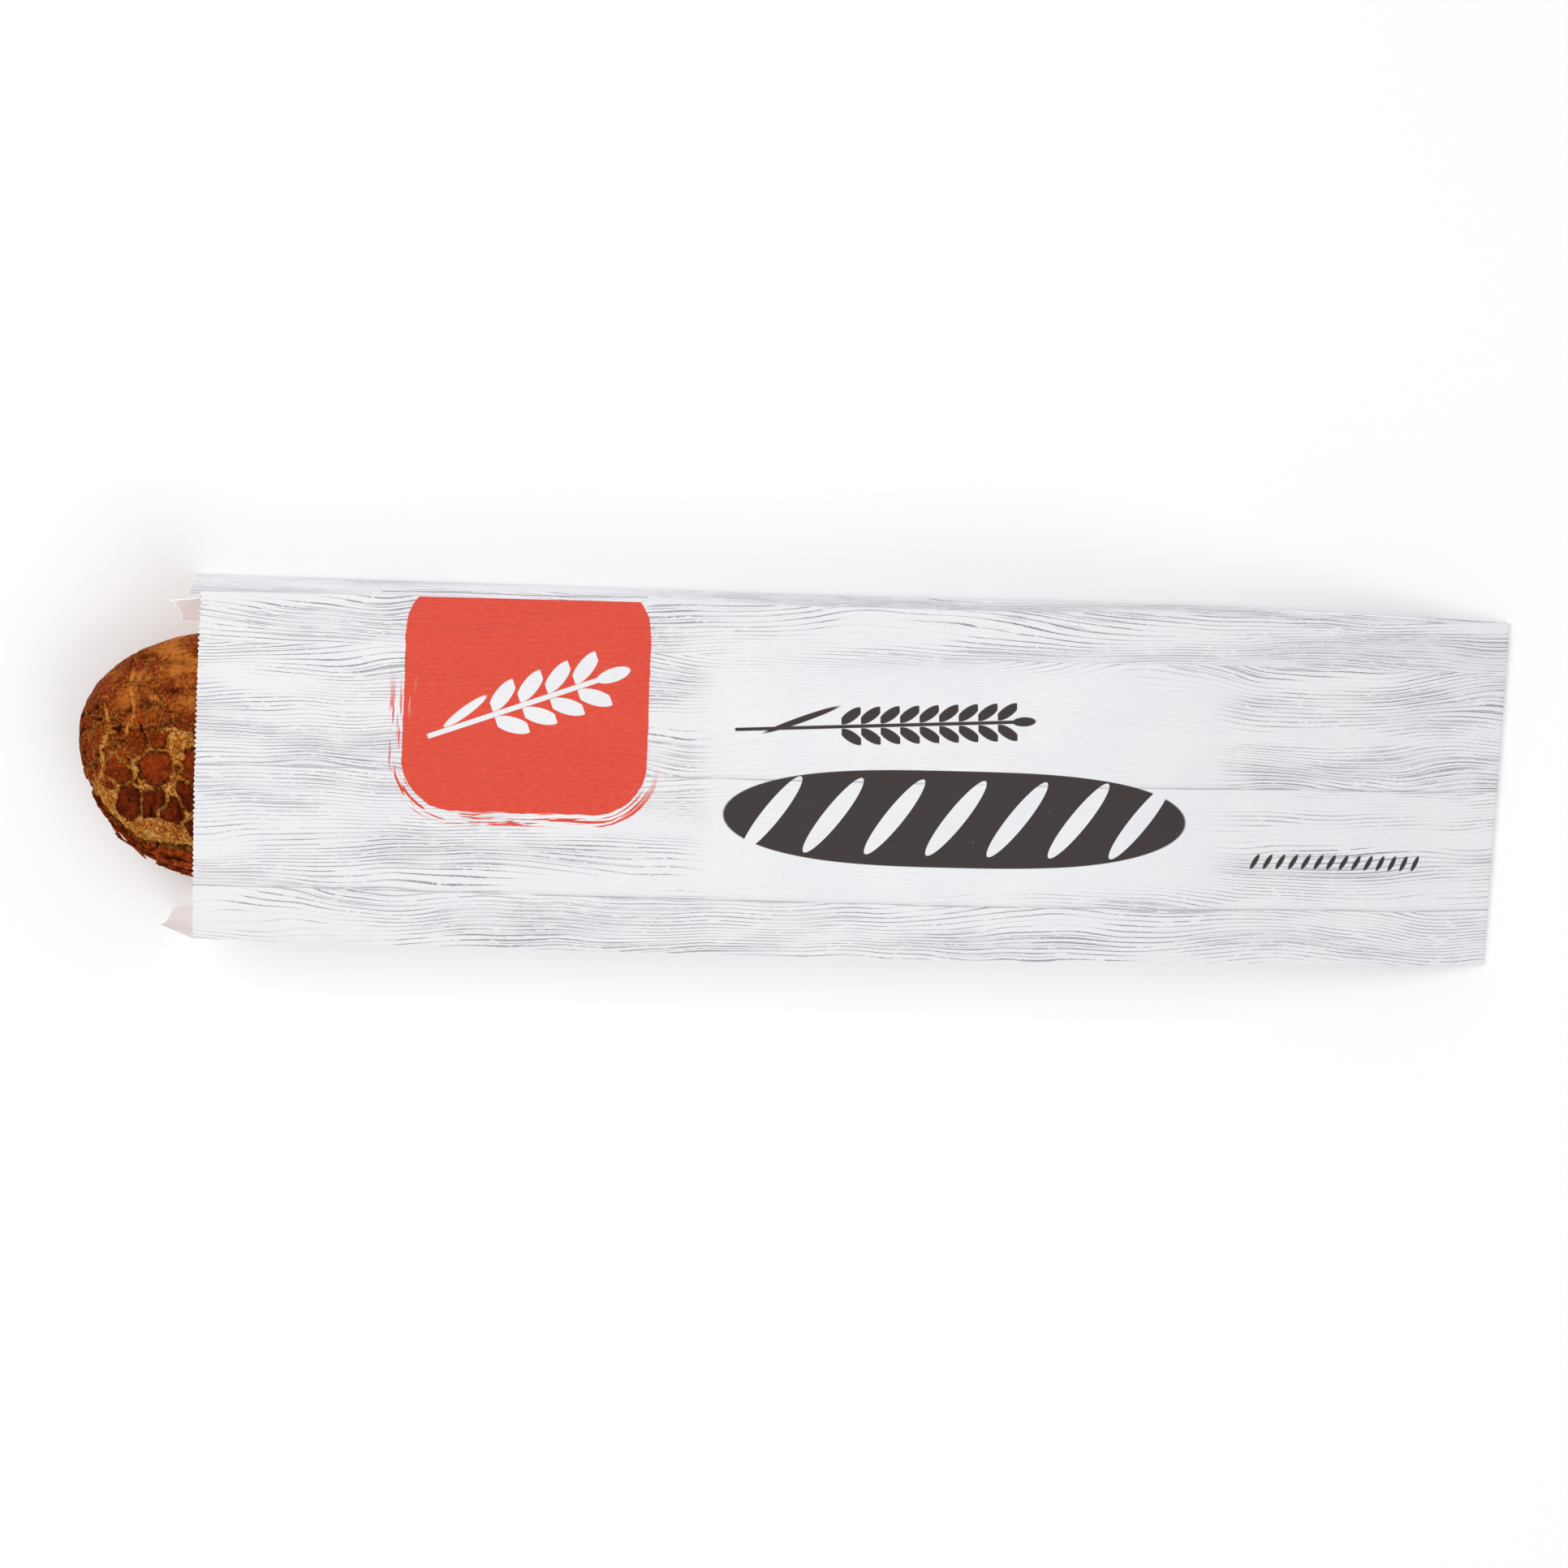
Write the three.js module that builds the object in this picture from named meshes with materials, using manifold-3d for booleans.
// A cracked-crust French-bread loaf lying in its long side-gusset paper bag, with the loaf's end
// standing out of the bag's open mouth.
//
// Frame: millimetres. +X runs along the bag from the open mouth to the closed end, +Z is up, and the
// origin is on the surface that the bag lies on, below the middle of the whole object.

import * as THREE from 'three';
import { mergeVertices } from 'three/addons/utils/BufferGeometryUtils.js';
import Module from 'manifold-3d';

// ---- driving dimensions -------------------------------------------------------------------------

const OBJECT_LENGTH = 548.7;
const BAG_LENGTH = 507.7;
const BAG_FACE_WIDTH = 133.4;
const PAPER = 0.8;

const LOAF_LENGTH = 434;
const LOAF_HALF_WIDTH = 48.5;
const LOAF_HEIGHT = 62;
const LOAF_CLEARANCE = 0.35;

const LIP_CUT_BACK = 11.4;
const SEAL_LENGTH = 25;
const BAG_BASE_HALF_WIDTH = 34;

const TIP_X = -OBJECT_LENGTH / 2;
const CLOSED_X = OBJECT_LENGTH / 2;
const MOUTH_X = CLOSED_X - BAG_LENGTH;
const LOAF_END_X = TIP_X + LOAF_LENGTH;

// ---- helpers ------------------------------------------------------------------------------------

// A value that runs straight between [x, value] stops, and is flat beyond the first and the last.
function along(stops, x) {
  if (x <= stops[0][0]) return stops[0][1];
  for (let i = 1; i < stops.length; i += 1) {
    const [x0, v0] = stops[i - 1];
    const [x1, v1] = stops[i];
    if (x <= x1) {
      return THREE.MathUtils.lerp(v0, v1, (x - x0) / (x1 - x0));
    }
  }
  return stops[stops.length - 1][1];
}

// Joins rings of [y, z] points, one ring for each x, into a closed solid. Rings run
// counter-clockwise as seen from +X, and the first and the last are filled to close the ends.
function loft(stations) {
  const positions = [];
  const indices = [];
  const size = stations[0].ring.length;
  for (const { x, ring } of stations) {
    for (const [y, z] of ring) positions.push(x, y, z);
  }
  for (let s = 0; s + 1 < stations.length; s += 1) {
    for (let i = 0; i < size; i += 1) {
      const a = s * size + i;
      const b = s * size + ((i + 1) % size);
      indices.push(a, b, a + size, b, b + size, a + size);
    }
  }
  capEnd(stations[0], 0, false);
  capEnd(stations[stations.length - 1], (stations.length - 1) * size, true);

  function capEnd({ ring }, first, facesForward) {
    const outline = ring.map(([y, z]) => new THREE.Vector2(y, z));
    for (const [a, b, c] of THREE.ShapeUtils.triangulateShape(outline, [])) {
      if (facesForward) indices.push(first + a, first + b, first + c);
      else indices.push(first + c, first + b, first + a);
    }
  }

  const geometry = new THREE.BufferGeometry();
  geometry.setAttribute('position', new THREE.Float32BufferAttribute(positions, 3));
  geometry.setIndex(indices);
  return geometry;
}

const wasm = await Module();
wasm.setup();

function toSolid(geometry) {
  const bare = geometry.clone();
  bare.deleteAttribute('normal');
  bare.deleteAttribute('uv');
  const merged = mergeVertices(bare, 1e-4);
  return new wasm.Manifold(new wasm.Mesh({
    numProp: 3,
    vertProperties: new Float32Array(merged.attributes.position.array),
    triVerts: new Uint32Array(merged.index.array),
  }));
}

function toGeometry(solid) {
  const mesh = solid.getMesh();
  const geometry = new THREE.BufferGeometry();
  geometry.setAttribute('position', new THREE.BufferAttribute(mesh.vertProperties, 3));
  geometry.setIndex(new THREE.BufferAttribute(mesh.triVerts, 1));
  geometry.computeVertexNormals();
  return geometry;
}

function named(name, geometry, material) {
  const mesh = new THREE.Mesh(geometry, material);
  mesh.name = name;
  return mesh;
}

// ---- the loaf: a long round-ended loaf that flattens where it rests -------------------------------

const LOAF_RING_STEPS = 36;
const LOAF_BODY_STEPS = 14;
const LOAF_END_STEPS = 9;
const TIP_DOME = 60;
const FAR_DOME = 52;
const WIDEST_HEIGHT = 27;
const BASE_SINK = 3;
const POLE_FULLNESS = 0.02;

// How full the section is at x, from 0 at an end's pole to 1 along the body.
function fullness(x) {
  const fromTip = (x - TIP_X) / TIP_DOME;
  const fromEnd = (LOAF_END_X - x) / FAR_DOME;
  const reach = THREE.MathUtils.clamp(Math.min(fromTip, fromEnd), 0, 1);
  return Math.sqrt(1 - (1 - reach) ** 2);
}

function loafRing(x) {
  const full = Math.max(fullness(x), POLE_FULLNESS);
  const base = PAPER + LOAF_CLEARANCE;
  const ring = [];
  for (let i = 0; i < LOAF_RING_STEPS; i += 1) {
    const angle = (2 * Math.PI * i) / LOAF_RING_STEPS;
    const side = Math.cos(angle);
    const rise = Math.sin(angle);
    const up = LOAF_HEIGHT - WIDEST_HEIGHT;
    const down = WIDEST_HEIGHT + BASE_SINK;
    const height = WIDEST_HEIGHT + rise * full * (rise > 0 ? up : down);
    ring.push([side * full * LOAF_HALF_WIDTH, base + Math.max(height, 0)]);
  }
  return ring;
}

// Stations crowd towards each pole, where the outline turns fastest.
function loafStations() {
  const stations = [];
  for (let i = 0; i < LOAF_END_STEPS; i += 1) {
    stations.push(TIP_X + TIP_DOME * (1 - Math.cos((Math.PI / 2) * (i / LOAF_END_STEPS))));
  }
  const bodyStart = TIP_X + TIP_DOME;
  const bodyEnd = LOAF_END_X - FAR_DOME;
  for (let i = 0; i <= LOAF_BODY_STEPS; i += 1) {
    stations.push(THREE.MathUtils.lerp(bodyStart, bodyEnd, i / LOAF_BODY_STEPS));
  }
  for (let i = LOAF_END_STEPS - 1; i >= 0; i -= 1) {
    stations.push(LOAF_END_X - FAR_DOME * (1 - Math.cos((Math.PI / 2) * (i / LOAF_END_STEPS))));
  }
  return stations.map((x) => ({ x, ring: loafRing(x) }));
}

// ---- the paper bag: a gusseted tube, open at the mouth and flattened to its glued end --------------

const FAR_CROWN_X = LOAF_END_X - 22;
const SEAL_X = CLOSED_X - SEAL_LENGTH;
const CLOSED_Y = BAG_FACE_WIDTH / 2;

// How the folds, the gusset creases and the top's crown run along the bag, as [x, value] stops.
const CROWN_Z = [
  [MOUTH_X, 70.5], [-100, 67], [FAR_CROWN_X, 65.5], [192, 43], [223, 28.5], [SEAL_X, 10], [CLOSED_X, 3.4],
];
const UPPER_FOLD_Z = [
  [MOUTH_X, 65], [-100, 62], [FAR_CROWN_X, 57], [192, 39], [223, 26], [SEAL_X, 8], [CLOSED_X, 3],
];
const UPPER_FOLD_Y = [[MOUTH_X, 66.1], [FAR_CROWN_X, 66.2], [CLOSED_X, CLOSED_Y]];
const LOWER_FOLD_Z = [[MOUTH_X, 0.4], [0, 1.5], [FAR_CROWN_X, 1.5], [CLOSED_X, 0]];
const LOWER_FOLD_Y = [[MOUTH_X, 66.6], [CLOSED_X, CLOSED_Y]];
const CREASE_Y = [[MOUTH_X, 51.6], [-60, 50.6], [FAR_CROWN_X, 50.6], [CLOSED_X, 40]];

const CROWN_STEPS = 8;
const BAG_STEP = 13;
const FOLD_TUCK = 3;
const BEYOND_MOUTH = 5;
const LIP_EDGE_BELOW_FOLD = 1.5;
const LIP_CUTTER_HEIGHT = 40;
const THINNEST_OPEN_FIN = 8;
const FULLY_OPEN_FIN = 24;

// The bag's outline at x, counter-clockwise as seen from +X, from the +Y edge of its flat base.
// finReach draws the four folded edges in towards the gusset creases: 1 leaves them where they are.
function bagRing(x, finReach = 1) {
  const upperZ = along(UPPER_FOLD_Z, x);
  const lowerZ = along(LOWER_FOLD_Z, x);
  const creaseY = along(CREASE_Y, x);
  const crown = along(CROWN_Z, x) - upperZ;
  const upperY = along(UPPER_FOLD_Y, x);
  const lowerY = along(LOWER_FOLD_Y, x);
  const topAt = (y) => upperZ + crown * (1 - (y / upperY) ** 2);
  const drawnUpperY = THREE.MathUtils.lerp(creaseY - FOLD_TUCK, upperY, finReach);
  const drawnLowerY = THREE.MathUtils.lerp(creaseY - FOLD_TUCK, lowerY, finReach);
  const baseAt = (y) => (lowerZ * (y - BAG_BASE_HALF_WIDTH)) / (lowerY - BAG_BASE_HALF_WIDTH);
  const right = [[BAG_BASE_HALF_WIDTH, 0]];
  right.push([drawnLowerY, baseAt(drawnLowerY)]);
  right.push([creaseY, (upperZ + lowerZ) / 2]);
  for (let i = 0; i < CROWN_STEPS / 2; i += 1) {
    const y = drawnUpperY * (1 - (2 * i) / CROWN_STEPS);
    right.push([y, topAt(y)]);
  }
  const left = right.map(([y, z]) => [-y, z]).reverse();
  return [...right, [0, topAt(0)], ...left];
}

// Moves every edge of a ring inwards by the paper's thickness.
function inset(ring, thickness) {
  return ring.map((point, i) => {
    const before = ring[(i + ring.length - 1) % ring.length];
    const after = ring[(i + 1) % ring.length];
    const here = new THREE.Vector2(...point);
    const arriving = here.clone().sub(new THREE.Vector2(...before)).normalize();
    const leaving = new THREE.Vector2(...after).sub(here).normalize();
    const inwardA = new THREE.Vector2(-arriving.y, arriving.x);
    const inwardB = new THREE.Vector2(-leaving.y, leaving.x);
    const mitre = inwardA.clone().add(inwardB);
    mitre.multiplyScalar(thickness / (1 + inwardA.dot(inwardB)));
    return here.add(mitre).toArray();
  });
}

function bagStations(from, to, ringAt) {
  const count = Math.ceil((to - from) / BAG_STEP);
  const stations = [];
  for (let i = 0; i <= count; i += 1) {
    const x = THREE.MathUtils.lerp(from, to, i / count);
    stations.push({ x, ring: ringAt(x) });
  }
  return stations;
}

// Near the closed end the folded edges are too thin to be hollow, so the inside leaves them out.
function insideRing(x) {
  const height = along(UPPER_FOLD_Z, x) - along(LOWER_FOLD_Z, x);
  const open = (height - THINNEST_OPEN_FIN) / (FULLY_OPEN_FIN - THINNEST_OPEN_FIN);
  return inset(bagRing(x, THREE.MathUtils.clamp(open, 0, 1)), PAPER);
}

function makeBag() {
  const outside = toSolid(loft(bagStations(MOUTH_X, CLOSED_X, (x) => bagRing(x))));
  const insideStations = bagStations(MOUTH_X, SEAL_X, insideRing);
  insideStations.unshift({ x: MOUTH_X - BEYOND_MOUTH, ring: insideRing(MOUTH_X) });
  const inside = toSolid(loft(insideStations));

  // The top face is cut back from the mouth, so the base and both gussets reach further out.
  const cutDepth = LIP_CUT_BACK + BEYOND_MOUTH;
  const cutFloor = along(UPPER_FOLD_Z, MOUTH_X) - LIP_EDGE_BELOW_FOLD;
  const cutter = new THREE.BoxGeometry(cutDepth, 2 * BAG_FACE_WIDTH, LIP_CUTTER_HEIGHT);
  cutter.translate(MOUTH_X - BEYOND_MOUTH + cutDepth / 2, 0, cutFloor + LIP_CUTTER_HEIGHT / 2);
  return toGeometry(outside.subtract(inside).subtract(toSolid(cutter)));
}

// ---- the object ---------------------------------------------------------------------------------

const crust = new THREE.MeshStandardMaterial({ color: 0x8a4a1c, roughness: 0.75, metalness: 0 });
const paper = new THREE.MeshStandardMaterial({ color: 0xe9e9ec, roughness: 0.8, metalness: 0 });

const breadInBag = new THREE.Group();
breadInBag.add(named('loaf', toGeometry(toSolid(loft(loafStations()))), crust));
breadInBag.add(named('paper_bag', makeBag(), paper));

export default breadInBag;
